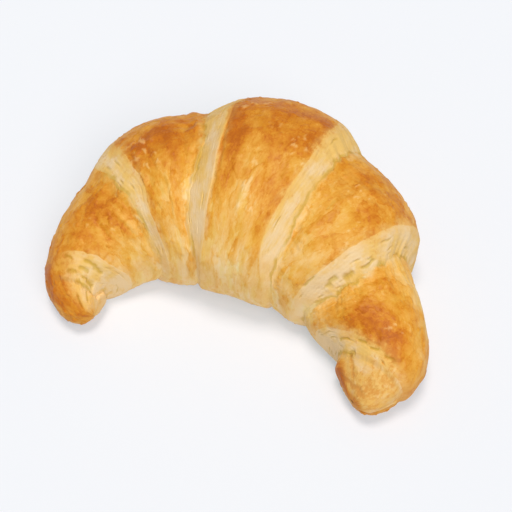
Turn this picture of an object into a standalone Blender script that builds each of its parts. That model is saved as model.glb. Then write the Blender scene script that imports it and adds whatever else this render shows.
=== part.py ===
"""A butter croissant, built as the one solid that it is: a tapered dough triangle rolled into
seven visible wraps and bent into a crescent, with both horns curled in towards the front.

The body is a loft along a bent centre line. Each wrap swells out of the crease below its upper
neighbour, ends in a lip, and drops down its cut edge to the next crease. The loft is a UV sphere
whose poles are the two horn tips: its rings are carried to the wraps' rows and its meridians to
angles round the section.

Lengths are in millimetres, angles in degrees. +Z is up, +Y is the round back of the crescent,
and the horns reach forward along -Y. Origin: middle of the footprint, on the resting plane.
"""

import math
from dataclasses import dataclass

import bmesh
import bpy
import numpy as np

MM = 0.001

# The centre line.
BEND = 0.894  # degrees of turn for each millimetre, all along
HOOK_START = 0.80  # share of an arm's length where its hook begins

# The section: half width and height at the crown and in the horns, and how fast they taper.
CROWN_HALF_WIDTH = 38.0
HORN_HALF_WIDTH = 11.3
CROWN_HEIGHT = 54.8
HORN_HEIGHT = 20.0
HEIGHT_TAPER = 1.3
WAIST = 0.42  # height of the widest line, as a share of the section's height
SQUARENESS = 2.8  # exponent of the fuller lower half
TIP_START = 0.83  # share of an arm's length where the blunt tip begins to close
TIP_ROUND = 2.2
FLAT_DEPTH = 1.5  # what the baking tray flattens off the bottom

# The surface of each wrap.
CROWN = 1.2
CREASE_FADE = 2.0
CROWN_SKEW = 1.3
CUT_CURVE = 1.3
NUB_FADE = 0.6

# Rows of the loft, and points round each one.
AROUND = 56
TOP_ROWS = 10
CUT_ROWS = 3
NUB_ROWS = 7

# Angles of the five values that each seam gives: 0 is the back, 90 the top, 180 the front.
SEAM_ANGLES = (20.0, 90.0, 135.0, 180.0, 270.0)


@dataclass(frozen=True)
class Arm:
    """One half of the crescent, from its crown to a horn tip.

    length runs along the centre line. curl adds turn that grows with the cube of the distance,
    and hook is the last turn of the tip. lean is how far the sections sit inside the centre
    line, and taper is how fast their width falls.
    """

    length: float
    curl: float
    hook: float
    lean: float
    taper: float


LEFT = Arm(96, 5.6e-5, 31, 2.5, 1.6)
RIGHT = Arm(95.5, 2.3e-5, 22, 3.3, 1.75)


@dataclass(frozen=True)
class Seam:
    """The cut edge of one wrap, with a value at each of SEAM_ANGLES.

    side is -1 left of the crown and 1 right of it. lip is the upper wrap's edge, measured along
    the centre line; cut is how far the cut edge runs from there down to the crease; step is how
    deep the crease lies; swell is how far the lip stands out of the even taper.
    """

    side: int
    lip: tuple
    cut: tuple
    step: tuple
    swell: tuple


LEFT_TIP = Seam(
    side=-1,
    lip=(81.5, 79, 79.5, 75.5, 80),
    cut=(1.5, 8, 13, 12.5, 6),
    step=(0.8, 3.2, 4, 2.6, 1.3),
    swell=(0, 0.4, 0.6, 0.4, 0),
)
LEFT_OUTER = Seam(
    side=-1,
    lip=(47, 47, 50.5, 51, 52),
    cut=(3.5, 5, 4.5, 4.3, 4),
    step=(2.2, 3.3, 2.4, 1.3, 0.9),
    swell=(4.2, 0.6, 0.6, 0.2, 0),
)
LEFT_INNER = Seam(
    side=-1,
    lip=(12.5, 15.5, 19, 24.5, 21),
    cut=(9, 7, 10.5, 2, 5),
    step=(4.2, 4.6, 3.4, 1.7, 1.3),
    swell=(0.4, 0.4, 0.6, 0.6, 0),
)
RIGHT_INNER = Seam(
    side=1,
    lip=(12.5, 16.4, 18.5, 30.5, 19),
    cut=(7.5, 5.6, 9.2, 3, 5),
    step=(3.8, 4.6, 3.8, 1.6, 1.5),
    swell=(1.6, 0.6, 0.6, 0.2, 0),
)
RIGHT_OUTER = Seam(
    side=1,
    lip=(44.5, 48.5, 51, 49, 48),
    cut=(5, 7.5, 8, 6.5, 6),
    step=(6, 5.4, 4.4, 1.8, 1.6),
    swell=(1.6, 0.5, 0.6, 0, 0),
)
RIGHT_TIP = Seam(
    side=1,
    lip=(85, 80.5, 75, 67.5, 80),
    cut=(1.5, 4, 8.5, 12.5, 6),
    step=(1.6, 3.2, 3.6, 2.8, 1.2),
    swell=(2.6, 1.5, 0.6, 0.6, 0),
)


def around(values, angle):
    """A smooth periodic curve through a seam's five values, read at each angle."""
    stops = np.array([SEAM_ANGLES[-1] - 360, *SEAM_ANGLES, SEAM_ANGLES[0] + 360, SEAM_ANGLES[1] + 360])
    levels = np.array([values[-1], *values, values[0], values[1]], float)
    rates = np.diff(levels) / np.diff(stops)
    before, after = rates[:-1], rates[1:]
    same_way = before * after > 0
    slopes = np.zeros(len(stops))
    slopes[1:-1] = np.where(same_way, 2 * before * after / np.where(same_way, before + after, 1), 0)
    at = np.mod(angle - SEAM_ANGLES[0], 360) + SEAM_ANGLES[0]
    i = np.clip(np.searchsorted(stops, at, side="right") - 1, 1, len(stops) - 3)
    width = stops[i + 1] - stops[i]
    t = (at - stops[i]) / width
    return (
        (2 * t**3 - 3 * t**2 + 1) * levels[i]
        + (t**3 - 2 * t**2 + t) * width * slopes[i]
        + (3 * t**2 - 2 * t**3) * levels[i + 1]
        + (t**3 - t**2) * width * slopes[i + 1]
    )


def by_arm(distance, name):
    """One of the arms' values, from the arm that each signed distance lies on."""
    return np.where(distance < 0, getattr(LEFT, name), getattr(RIGHT, name))


def centre_line(distance):
    """x, y and heading, in radians, of the centre line at signed distances from the crown."""
    step = 0.1
    run = np.arange(-LEFT.length, RIGHT.length + step, step)
    hook = np.clip((np.abs(run) / by_arm(run, "length") - HOOK_START) / (1 - HOOK_START), 0, 1) ** 2
    turn = BEND * run + by_arm(run, "curl") * run**3 + np.sign(run) * by_arm(run, "hook") * hook
    heading = -np.radians(turn)
    x = np.cumsum(np.cos(heading)) * step
    y = np.cumsum(np.sin(heading)) * step
    return (
        np.interp(distance, run, x - np.interp(0, run, x)),
        np.interp(distance, run, y - np.interp(0, run, y)),
        np.interp(distance, run, heading),
    )


def surface_point(distance, angle, lift):
    """Points of the skin, lifted out of the even taper by lift, as an array of x, y, z."""
    x, y, heading = centre_line(distance)
    share = np.clip(np.abs(distance) / by_arm(distance, "length"), 0, 1)
    fullness = np.cos(math.pi / 2 * share)
    half_width = HORN_HALF_WIDTH + (CROWN_HALF_WIDTH - HORN_HALF_WIDTH) * fullness ** by_arm(distance, "taper")
    height = HORN_HEIGHT + (CROWN_HEIGHT - HORN_HEIGHT) * fullness**HEIGHT_TAPER
    tip = np.clip((share - TIP_START) / (1 - TIP_START), 0, 1)
    closing = (1 - tip**TIP_ROUND) ** (1 / TIP_ROUND)
    waist = WAIST * height

    across, up = np.cos(np.radians(angle)), np.sin(np.radians(angle))
    upper = up >= 0
    reach = np.where(upper, height - waist, waist)
    full_across = np.sign(across) * np.abs(across) ** (2 / SQUARENESS)
    full_up = -np.abs(up) ** (2 / SQUARENESS)
    out = half_width * closing * np.where(upper, across, full_across)
    out = out - by_arm(distance, "lean") * np.sin(math.pi * share) ** 2
    z = waist + reach * closing * np.where(upper, up, full_up)

    normal_out, normal_up = across / half_width, up / reach
    length = np.hypot(normal_out, normal_up)
    out = out + lift * normal_out / length
    z = z + lift * normal_up / length
    return np.stack(
        [x - np.sin(heading) * out, y + np.cos(heading) * out, np.maximum(z - FLAT_DEPTH, 0)], axis=-1
    )


def edges(seam, angle):
    """The seam's lip and crease as signed distances, its step and its swell, at each angle."""
    lip = around(seam.lip, angle)
    crease = lip + around(seam.cut, angle)
    return seam.side * lip, seam.side * crease, around(seam.step, angle), around(seam.swell, angle)


def wrap_rows(upper, lower, angle):
    """Rows of a wrap's top, from the crease under the upper seam to the lip of the lower one."""
    _, crease, step, _ = edges(upper, angle)
    lip, _, _, swell = edges(lower, angle)
    for share in np.linspace(0, 1, TOP_ROWS + 1):
        lift = CROWN * math.sin(math.pi * share**CROWN_SKEW) + swell * share**2
        yield crease + share * (lip - crease), lift - step * (1 - share) ** CREASE_FADE


def centre_rows(left, right, angle):
    """Rows of the middle wrap, which has a lip on each side."""
    first, _, _, first_swell = edges(left, angle)
    last, _, _, last_swell = edges(right, angle)
    for share in np.linspace(0, 1, TOP_ROWS + 1):
        swell = first_swell * (1 - share) ** 2 + last_swell * share**2
        yield first + share * (last - first), swell + CROWN * math.sin(math.pi * share)


def cut_rows(seam, angle):
    """Rows down a cut edge, between its lip and its crease."""
    lip, crease, step, swell = edges(seam, angle)
    for share in np.linspace(0, 1, CUT_ROWS + 1)[1:-1]:
        yield lip + share * (crease - lip), swell * (1 - share) - step * share**CUT_CURVE


def nub_rows(seam, angle):
    """Rows of a horn's nub, from its crease to just short of the tip."""
    _, crease, step, _ = edges(seam, angle)
    tip = -LEFT.length if seam.side < 0 else RIGHT.length
    for row in range(NUB_ROWS):
        share = 1 - (1 - row / NUB_ROWS) ** 1.5
        rise = math.sin(math.pi / 2 * min(1, share / NUB_FADE))
        yield crease + share * (tip - crease), -step * (1 - rise)


def loft_rows(angle):
    """Every row of the loft from the left tip to the right one, as distances and lifts."""
    rows = [(np.full_like(angle, -LEFT.length), np.zeros_like(angle))]
    rows += reversed(list(nub_rows(LEFT_TIP, angle)))
    rows += reversed(list(cut_rows(LEFT_TIP, angle)))
    rows += reversed(list(wrap_rows(LEFT_OUTER, LEFT_TIP, angle)))
    rows += reversed(list(cut_rows(LEFT_OUTER, angle)))
    rows += reversed(list(wrap_rows(LEFT_INNER, LEFT_OUTER, angle)))
    rows += reversed(list(cut_rows(LEFT_INNER, angle)))
    rows += centre_rows(LEFT_INNER, RIGHT_INNER, angle)
    rows += cut_rows(RIGHT_INNER, angle)
    rows += wrap_rows(RIGHT_INNER, RIGHT_OUTER, angle)
    rows += cut_rows(RIGHT_OUTER, angle)
    rows += wrap_rows(RIGHT_OUTER, RIGHT_TIP, angle)
    rows += cut_rows(RIGHT_TIP, angle)
    rows += nub_rows(RIGHT_TIP, angle)
    rows.append((np.full_like(angle, RIGHT.length), np.zeros_like(angle)))
    return rows


def loft_points():
    """The loft's points as an array of row, place round the row and coordinate, centred."""
    angle = np.arange(AROUND) * 360 / AROUND
    points = np.array([surface_point(distance, angle, lift) for distance, lift in loft_rows(angle)])
    low, high = points.min(axis=(0, 1)), points.max(axis=(0, 1))
    points[..., :2] -= (low + high)[:2] / 2
    return points * MM


def crust_material():
    """Egg-washed crust, golden brown and a little glossy."""
    material = bpy.data.materials.new("crust")
    material.use_nodes = True
    shader = material.node_tree.nodes["Principled BSDF"]
    shader.inputs["Base Color"].default_value = (0.73, 0.39, 0.11, 1)
    shader.inputs["Roughness"].default_value = 0.5
    shader.inputs["Metallic"].default_value = 0
    return material


def croissant(collection):
    """The croissant: a UV sphere whose rings and meridians are carried to the loft's points."""
    points = loft_points()
    rows = len(points) - 1
    body = bmesh.new()
    bmesh.ops.create_uvsphere(body, u_segments=AROUND, v_segments=rows, radius=1)
    for vertex in body.verts:
        row = round(math.acos(max(-1, min(1, -vertex.co.z))) / math.pi * rows)
        place = round(math.atan2(vertex.co.y, vertex.co.x) / (2 * math.pi) * AROUND) % AROUND
        vertex.co = points[row, place]
    if body.calc_volume(signed=True) < 0:
        bmesh.ops.reverse_faces(body, faces=body.faces)
    mesh = bpy.data.meshes.new("croissant")
    body.to_mesh(mesh)
    body.free()
    mesh.shade_smooth()
    mesh.materials.append(crust_material())
    collection.objects.link(bpy.data.objects.new("croissant", mesh))


def main():
    for old in list(bpy.data.objects):
        bpy.data.objects.remove(old)
    collection = bpy.data.collections.new("Croissant")
    bpy.context.scene.collection.children.link(collection)
    croissant(collection)


main()
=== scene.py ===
"""The looks of a butter croissant.

The croissant is seven wraps of one rolled sheet of laminated dough. Each wrap is a closed shell
that comes out from under its upper neighbour, browns towards its lip, and ends in a cut edge
where the leaves of the dough show. The shells ride on the frame and stand for its plain solid.

Inside the classes lengths are millimetres and angles degrees. Distances run along the bent
centre line of the roll, from the crown of the crescent, negative towards the left horn. Angles
run round the section: 0 is the back, 90 the top, 180 the front between the horns, 270 below.
"""

from __future__ import annotations

import itertools
import logging
import math
from dataclasses import dataclass, field
from enum import IntEnum
from functools import cached_property

import bpy
import numpy as np
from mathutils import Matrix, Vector


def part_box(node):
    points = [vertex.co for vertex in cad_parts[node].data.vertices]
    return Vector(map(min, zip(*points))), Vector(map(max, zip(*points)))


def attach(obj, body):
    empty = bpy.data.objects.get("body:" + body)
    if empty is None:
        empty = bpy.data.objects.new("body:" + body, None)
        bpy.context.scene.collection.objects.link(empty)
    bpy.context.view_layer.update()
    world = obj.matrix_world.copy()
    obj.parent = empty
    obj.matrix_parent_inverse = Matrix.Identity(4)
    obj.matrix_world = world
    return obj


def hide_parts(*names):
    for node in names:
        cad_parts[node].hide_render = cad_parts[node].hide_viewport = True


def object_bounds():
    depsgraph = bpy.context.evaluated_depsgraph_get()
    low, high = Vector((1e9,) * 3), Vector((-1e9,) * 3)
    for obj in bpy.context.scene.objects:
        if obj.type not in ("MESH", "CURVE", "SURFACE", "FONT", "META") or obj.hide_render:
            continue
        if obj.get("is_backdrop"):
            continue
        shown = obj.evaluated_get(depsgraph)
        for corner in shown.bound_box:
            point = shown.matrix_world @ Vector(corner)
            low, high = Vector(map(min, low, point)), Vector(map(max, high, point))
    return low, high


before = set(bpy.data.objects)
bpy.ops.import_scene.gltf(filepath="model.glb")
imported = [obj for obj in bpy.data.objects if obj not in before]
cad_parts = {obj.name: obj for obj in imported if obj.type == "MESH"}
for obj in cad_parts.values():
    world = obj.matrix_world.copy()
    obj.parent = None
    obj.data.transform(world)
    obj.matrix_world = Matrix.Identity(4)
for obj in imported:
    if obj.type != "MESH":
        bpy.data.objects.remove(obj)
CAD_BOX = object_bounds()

Array = np.ndarray
Pair = tuple[float, float]
Triple = tuple[float, float, float]

LOG = logging.getLogger("croissant")
MM = 0.001
NODE = "croissant"


# ---------------------------------------------------------------- helpers


def smooth(value: Array, low: float, high: float) -> Array:
    """A smooth rise from 0 at low to 1 at high."""
    t = np.clip((value - low) / (high - low), 0, 1)
    return t * t * (3 - 2 * t)


def linear(red: int, green: int, blue: int) -> Triple:
    """Turns a display colour into the linear light that the shaders take.

    Args:
        red: The red channel, 0 to 255.
        green: The green channel.
        blue: The blue channel.

    Returns:
        The three channels, 0 to 1.
    """

    def channel(level: int) -> float:
        """One channel in linear light."""
        share = level / 255
        return share / 12.92 if share <= 0.04045 else ((share + 0.055) / 1.055) ** 2.4

    return channel(red), channel(green), channel(blue)


def column(values: Array) -> Array:
    """Turns a list of row values into a column that spreads over a block."""
    return np.asarray(values, float)[:, None]


class Lattice:
    """Cells in space, each with its own number, the same on every run for one seed."""

    def __init__(self, seed: int) -> None:
        """Shuffles the cells' numbers.

        Args:
            seed: Which lattice it is.
        """
        self.rng = np.random.default_rng(seed)
        self.table = self.rng.permutation(256)

    def number(self, cell: Array) -> Array:
        """Reads each cell's number.

        Args:
            cell: The cells' whole coordinates, in the last axis.

        Returns:
            Their numbers, 0 to 255.
        """
        number = 0
        for axis in range(3):
            number = self.table[(number + cell[..., axis]) & 255]
        return number


class Noise(Lattice):
    """Smooth gradient noise in space."""

    SCALE = 1.6
    SHIFT = 17.3

    def __init__(self, seed: int) -> None:
        """Draws the lattice's directions.

        Args:
            seed: Which noise it is.
        """
        super().__init__(seed)
        directions = self.rng.normal(size=(256, 3))
        self.directions = directions / np.linalg.norm(directions, axis=1, keepdims=True)

    def at(self, points: Array) -> Array:
        """Reads the noise.

        Args:
            points: Points in lattice steps, with x, y and z in the last axis.

        Returns:
            Values from about -1 to 1.
        """
        cell = np.floor(points).astype(int)
        local = points - cell
        fade = local**3 * (local * (local * 6 - 15) + 10)
        total = np.zeros(points.shape[:-1])
        for corner in itertools.product((0, 1), repeat=3):
            direction_there = self.directions[self.number(cell + corner)]
            weight = np.prod(np.where(np.array(corner) == 1, fade, 1 - fade), axis=-1)
            total += weight * np.einsum("...i,...i", direction_there, local - corner)
        return total * self.SCALE

    def fractal(self, points: Array, octaves: int = 3) -> Array:
        """Adds up octaves of the noise, each twice as fine and half as strong."""
        return sum(self.at(points * 2**n + self.SHIFT * n) / 2**n for n in range(octaves))


class Cells(Lattice):
    """Irregular patches, such as the torn leaves of the outermost dough."""

    FAR = 9.0

    def __init__(self, seed: int) -> None:
        """Draws each patch's middle and level.

        Args:
            seed: Which pattern it is.
        """
        super().__init__(seed)
        self.middles = self.rng.uniform(size=(256, 3))
        self.levels = self.rng.uniform(-1, 1, size=256)

    def at(self, points: Array) -> tuple[Array, Array]:
        """Reads the pattern.

        Args:
            points: Points in patch sizes, with x, y and z in the last axis.

        Returns:
            The level of the patch round each point, from -1 to 1, and how far the point is
            from the next patch, 0 on the border between them.
        """
        cell = np.floor(points).astype(int)
        nearest = np.full(points.shape[:-1], self.FAR)
        second = nearest.copy()
        level = np.zeros(points.shape[:-1])
        for step in itertools.product((-1, 0, 1), repeat=3):
            key = self.number(cell + step)
            gap = np.linalg.norm(cell + step + self.middles[key] - points, axis=-1)
            closer = gap < nearest
            second = np.where(closer, nearest, np.minimum(second, gap))
            level = np.where(closer, self.levels[key], level)
            nearest = np.minimum(nearest, gap)
        return level, second - nearest


# ---------------------------------------------------------------- the roll


@dataclass(frozen=True)
class Arm:
    """One half of the crescent, as the solid has it.

    length runs along the centre line. curl adds turn that grows with the cube of the distance,
    and hook is the last turn of the tip. lean is how far the sections sit inside the centre
    line, and taper is how fast their width falls. tip_round is 2 for a round tip, and less
    for a pointed one.
    """

    length: float
    curl: float
    hook: float
    lean: float
    taper: float
    tip_round: float


@dataclass(frozen=True)
class Roll:
    """The even, tapered and bent roll that the wraps lie on.

    flat_depth is how much of the round underside is cut off flat, and groove_share is the part
    of it that a groove keeps. A hollow goes at most the share deepest of the way to the middle.
    """

    STEP = 0.1

    left: Arm = Arm(96, 5.6e-5, 31, 2.5, 1.6, 1.8)
    right: Arm = Arm(95.5, 2.3e-5, 22, 3.3, 1.75, 2.2)
    bend: float = 0.894
    hook_start: float = 0.8
    crown_half_width: float = 37.9
    horn_half_width: float = 11.3
    crown_height: float = 54.8
    horn_height: float = 20.0
    height_taper: float = 1.3
    waist: float = 0.42
    squareness: float = 2.8
    tip_start: float = 0.83
    flat_depth: float = 1.5
    groove_share: float = 0.8
    deepest: float = 0.9
    ring_radii: Pair = (12, 31)
    footprint_middle: Pair = (1.5, -12.45)

    def by_arm(self, distance: Array, name: str) -> Array:
        """One of the arms' values, from the arm that each distance lies on."""
        return np.where(distance < 0, getattr(self.left, name), getattr(self.right, name))

    @cached_property
    def course(self) -> tuple[Array, Array, Array, Array]:
        """The centre line, in small steps.

        Returns:
            Distances along it, x, y, and headings in radians.
        """
        run = np.arange(-self.left.length, self.right.length + self.STEP, self.STEP)
        share = np.abs(run) / self.by_arm(run, "length")
        hook = np.clip((share - self.hook_start) / (1 - self.hook_start), 0, 1) ** 2
        turn = self.bend * run + self.by_arm(run, "curl") * run**3
        turn = turn + np.sign(run) * self.by_arm(run, "hook") * hook
        heading = -np.radians(turn)
        x = np.cumsum(np.cos(heading)) * self.STEP
        y = np.cumsum(np.sin(heading)) * self.STEP
        return run, x - np.interp(0, run, x), y - np.interp(0, run, y), heading

    def point(
        self, distance: Array, angle: Array, lift: Array, shrink: Array, groove: Array
    ) -> Array:
        """Points of the roll's skin.

        Args:
            distance: Distances along the centre line.
            angle: Angles round the section.
            lift: How far the point stands out of the even roll.
            shrink: 1 on the skin, down to 0 on the section's middle.
            groove: 0 where the underside is flat, 1 where it keeps its round form.

        Returns:
            Points with x, y and z in the last axis, in the frame.
        """
        run, line_x, line_y, line_heading = self.course
        heading = np.interp(distance, run, line_heading)
        share = np.clip(np.abs(distance) / self.by_arm(distance, "length"), 0, 1)
        fullness = np.cos(math.pi / 2 * share)
        spread = self.crown_half_width - self.horn_half_width
        half_width = self.horn_half_width + spread * fullness ** self.by_arm(distance, "taper")
        rise = self.crown_height - self.horn_height
        height = self.horn_height + rise * fullness**self.height_taper
        tip = np.clip((share - self.tip_start) / (1 - self.tip_start), 0, 1)
        tip_round = self.by_arm(distance, "tip_round")
        closing = (1 - tip**tip_round) ** (1 / tip_round)
        waist = self.waist * height

        across, up = np.cos(np.radians(angle)), np.sin(np.radians(angle))
        upper = up >= 0
        reach = np.where(upper, height - waist, waist)
        full_across = np.sign(across) * np.abs(across) ** (2 / self.squareness)
        full_up = -np.abs(up) ** (2 / self.squareness)
        out = half_width * closing * np.where(upper, across, full_across)
        z = reach * closing * np.where(upper, up, full_up)
        lift = np.maximum(lift, -self.deepest * np.hypot(out, z))
        normal_out, normal_up = across / half_width, up / reach
        length = np.hypot(normal_out, normal_up)
        out = (out + lift * normal_out / length) * shrink
        out = out - self.by_arm(distance, "lean") * np.sin(math.pi * share) ** 2
        z = waist + (z + lift * normal_up / length) * shrink
        z = np.maximum(z - self.flat_depth * (1 - self.groove_share * groove), 0)

        low, high = (np.array(corner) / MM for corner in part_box(NODE))
        middle = (low + high) / 2 - (*self.footprint_middle, 0)
        x = np.interp(distance, run, line_x) - np.sin(heading) * out + middle[0]
        y = np.interp(distance, run, line_y) + np.cos(heading) * out + middle[1]
        return np.stack([x, y, z + low[2]], axis=-1)

    def ring(self, distance: Array, angle: Array) -> Array:
        """Coordinates that follow the roll.

        Args:
            distance: Distances along the centre line.
            angle: Angles round the section.

        Returns:
            The distance, and two coordinates across it on an even ring, in the last axis.
        """
        share = np.clip(np.abs(distance) / self.by_arm(distance, "length"), 0, 1)
        horn, crown = self.ring_radii
        radius = horn + (crown - horn) * np.cos(math.pi / 2 * share)
        turn = np.radians(angle)
        across = radius * np.cos(turn), radius * np.sin(turn)
        return np.stack(np.broadcast_arrays(distance, *across), -1)


class Side(IntEnum):
    """The two sides of the crown, as signs of the distance along the roll."""

    LEFT = -1
    RIGHT = 1


@dataclass(frozen=True)
class Seam:
    """The cut edge of one wrap, with a value at each of STOPS round the section.

    side tells which arm it is on. lip is the upper wrap's edge, cut is how far the cut edge runs
    from there down to the crease, step is how deep the crease lies, and swell is how far the lip
    stands out of the even taper. ragged is how far the lip strays.

    The strays are noises, each with the length of its waves, its number and its amount. A lip is
    plain, and a crease is a hollow, from the first of two heights on and fully at the second.
    """

    STOPS = (20.0, 90.0, 135.0, 180.0, 270.0)
    RING = 24
    LIP_STRAY = ((11, 1, 1.0), (3, 2, 0.35))
    CREASE_STRAY = ((7, 3, 0.9), (1.8, 6, 0.4))
    SWELL_STRAY = ((10, 4, 0.25),)
    LEAST_CUT = 0.4
    PLAIN = (0.9, 2.6)
    HOLLOW = (0.3, 1.8)

    side: Side
    lip: tuple[float, ...]
    cut: tuple[float, ...]
    step: tuple[float, ...]
    swell: tuple[float, ...]
    ragged: float = 0.7
    seed: int = 0

    def curve(self, values: tuple[float, ...], angle: Array) -> Array:
        """A smooth closed curve through five values, one at each of STOPS.

        Args:
            values: The values.
            angle: Angles round the section.

        Returns:
            The curve's height at each angle.
        """
        first, last = self.STOPS[0], self.STOPS[-1]
        stops = np.array([last - 360, *self.STOPS, first + 360, self.STOPS[1] + 360])
        levels = np.array([values[-1], *values, values[0], values[1]], float)
        rates = np.diff(levels) / np.diff(stops)
        before, after = rates[:-1], rates[1:]
        same_way = before * after > 0
        total = np.where(same_way, before + after, 1)
        slopes = np.zeros(len(stops))
        slopes[1:-1] = np.where(same_way, 2 * before * after / total, 0)
        at = np.mod(angle - first, 360) + first
        i = np.clip(np.searchsorted(stops, at, side="right") - 1, 1, len(stops) - 3)
        width = stops[i + 1] - stops[i]
        t = (at - stops[i]) / width
        return (
            (2 * t**3 - 3 * t**2 + 1) * levels[i]
            + (t**3 - 2 * t**2 + t) * width * slopes[i]
            + (3 * t**2 - 2 * t**3) * levels[i + 1]
            + (t**3 - t**2) * width * slopes[i + 1]
        )

    def stray(self, angle: Array, noises: tuple[Triple, ...]) -> Array:
        """How far an uneven line strays.

        Args:
            angle: Angles round the section.
            noises: The length of the waves, the number and the amount of each noise.

        Returns:
            The stray at each angle.
        """
        turn = np.radians(angle)
        ring = np.stack([np.cos(turn), np.sin(turn), np.zeros_like(turn)], axis=-1)
        return sum(
            amount * Noise(self.seed * 7 + number).fractal(ring * self.RING / wave + self.seed)
            for wave, number, amount in noises
        )

    def lip_at(self, angle: Array) -> Array:
        """The lip's distance from the crown, without its sign."""
        stray = self.ragged * self.stray(angle, self.LIP_STRAY)
        return self.curve(self.lip, angle) + stray * self.weight_at(angle)

    def crease_at(self, angle: Array) -> Array:
        """The crease's distance from the crown, without its sign.

        Args:
            angle: Angles round the section.

        Returns:
            The distance at each angle.
        """
        crease = self.curve(self.lip, angle) + self.curve(self.cut, angle)
        stray = self.stray(angle, self.CREASE_STRAY) * self.crease_weight_at(angle)
        return np.maximum(crease + stray, self.lip_at(angle) + self.LEAST_CUT)

    def step_at(self, angle: Array) -> Array:
        """The crease's depth."""
        return self.curve(self.step, angle)

    def swell_at(self, angle: Array) -> Array:
        """The lip's height, uneven as the leaves lift more in some places."""
        stray = self.stray(angle, self.SWELL_STRAY) * self.weight_at(angle)
        return self.curve(self.swell, angle) + stray

    def weight_at(self, angle: Array) -> Array:
        """1 where the seam is plain to see, 0 where one wrap runs smoothly into the next."""
        return smooth(self.curve(self.step, angle) + self.curve(self.swell, angle), *self.PLAIN)

    def crease_weight_at(self, angle: Array) -> Array:
        """1 where the lower wrap comes out of a plain hollow, 0 where there is none."""
        return smooth(self.curve(self.step, angle), *self.HOLLOW)


# ---------------------------------------------------------------- rows of a shell


@dataclass
class Block:
    """Rows of a shell's grid, with an array of rows by columns for each value.

    distance, lift, shrink and groove place the points. skin is 1 on the baked outside and 0 on
    a cut edge and on what is hidden. past_lip is how far a row lies beyond the nearest lip, in
    millimetres, and past_crease how far beyond the crease. lip_weight and crease_weight are 1
    where that lip or crease is plain to see.
    """

    distance: Array
    lift: Array
    shrink: Array
    groove: Array
    skin: Array
    past_lip: Array
    past_crease: Array
    lip_weight: Array
    crease_weight: Array

    @classmethod
    def make(cls, angle: Array, rows: int, **values: Array | float) -> Block:
        """Makes a block, with what isn't given at its usual value.

        Args:
            angle: The columns' angles.
            rows: How many rows it has.
            **values: What is known, by the field's name, as numbers or arrays that spread.

        Returns:
            The block.
        """
        usual = {
            "lift": 0,
            "shrink": 1,
            "groove": 0,
            "skin": 0,
            "past_lip": -99,
            "past_crease": 99,
            "lip_weight": 0,
            "crease_weight": 0,
        }
        shape = (rows, len(angle))
        given = usual | values
        spread = {name: np.broadcast_to(value, shape) for name, value in given.items()}
        return cls(**{name: np.array(value, float) for name, value in spread.items()})

    def reversed(self) -> Block:
        """The same rows in the other order."""
        return Block(*(value[::-1] for value in vars(self).values()))

    @staticmethod
    def join(blocks: list[Block]) -> Block:
        """One block of all the rows."""
        names = vars(blocks[0])
        return Block(*(np.concatenate([getattr(block, name) for block in blocks]) for name in names))


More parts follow.
